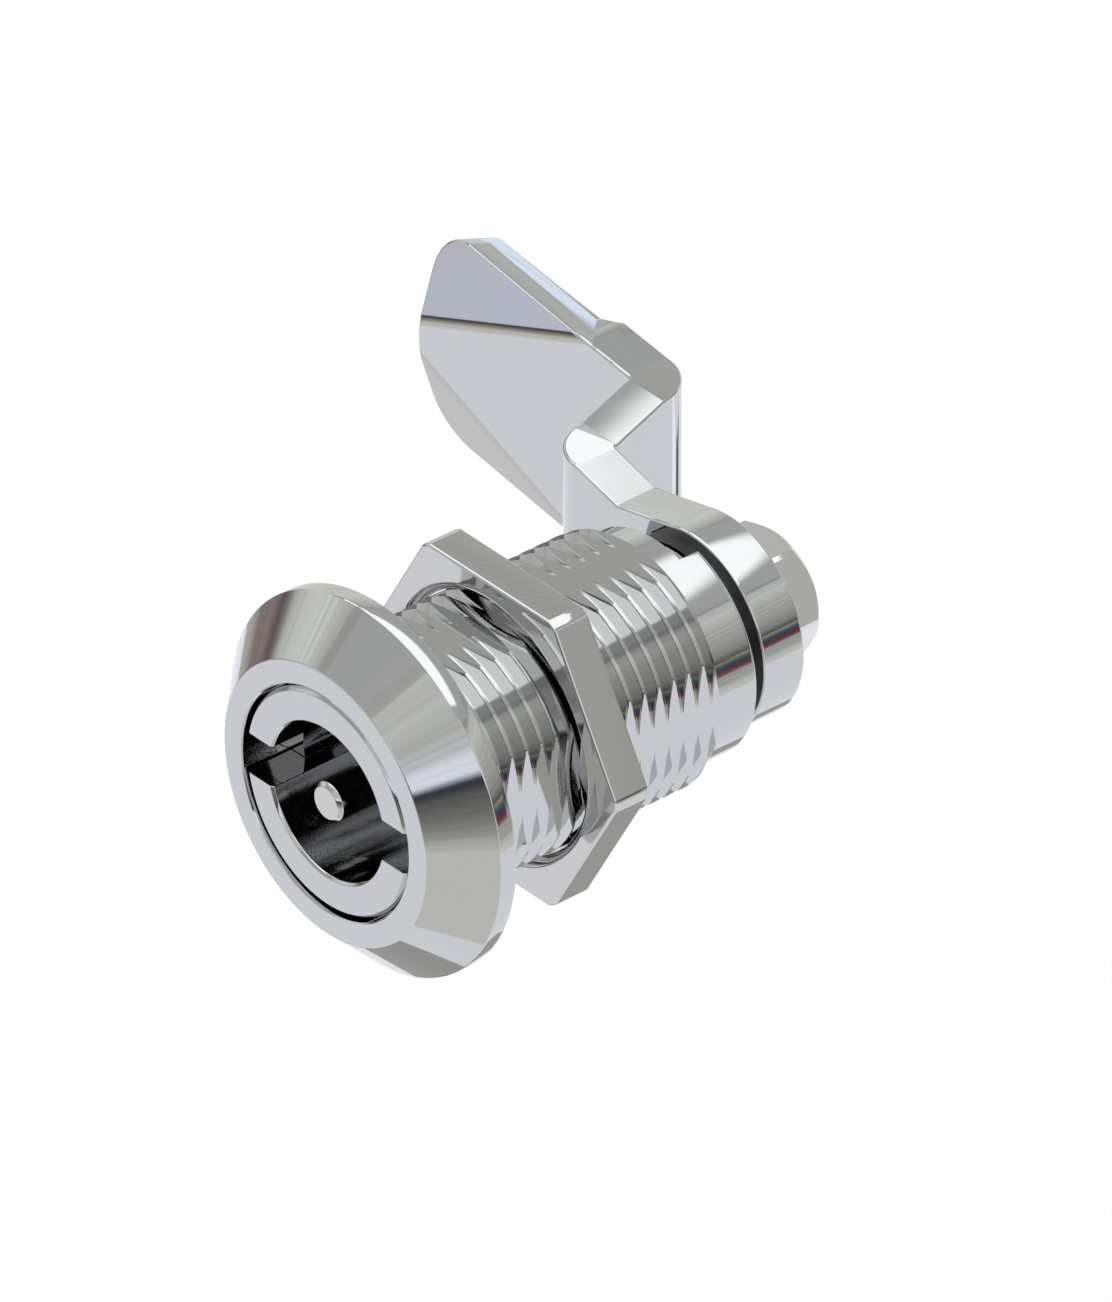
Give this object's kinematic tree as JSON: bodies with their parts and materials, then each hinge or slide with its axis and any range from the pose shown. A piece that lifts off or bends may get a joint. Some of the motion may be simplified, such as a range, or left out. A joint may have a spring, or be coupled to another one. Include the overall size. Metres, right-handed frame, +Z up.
{
  "type": "quarter-turn latch",
  "caption": "Chromed quarter-turn latch: round cone head with a double-bit socket, flatted barrel with a hex nut, and a cranked cam with a folded tip.",
  "frame": {"origin": "centre of the head's rear seating face, on the lock axis, where the latch stands in its door cut-out", "axes": "+Y along the lock axis from the door's outside into the cabinet, +Z up, the cam points to -X at rest and turns up to +Z"},
  "size_m": [0.0533, 0.0471, 0.028],
  "materials": {
    "chromed_zinc": "polished chrome plate on die-cast zinc",
    "chromed_driver": "polished chrome plate",
    "bright_steel": "bright ground steel",
    "seal_rubber": "matt black rubber",
    "spring_steel": "plain sheet steel",
    "chromed_cam": "chrome plate on stamped and bent steel",
    "plated_bolt": "bright plated steel",
    "chromed_nut": "chrome plate"
  },
  "bodies": {
    "housing": {"housing": "chromed_zinc", "disc_spring": "spring_steel"},
    "driver": {"driver": "chromed_driver", "guide_pin": "bright_steel", "seal_ring": "seal_rubber", "stop_washer": "spring_steel", "cam": "chromed_cam", "cam_bolt": "plated_bolt"},
    "nut": {"mounting_nut": "chromed_nut"}
  },
  "joints": [
    {"name": "driver_turn", "type": "hinge", "parent": "housing", "child": "driver", "pos_m": [0, 0, 0], "axis": [0, 1, 0], "range_deg": [0, 90]},
    {"name": "nut_travel", "type": "slide", "parent": "housing", "child": "nut", "axis": [0, 1, 0], "range_m": [-0.0084, 0.0098]}
  ]
}
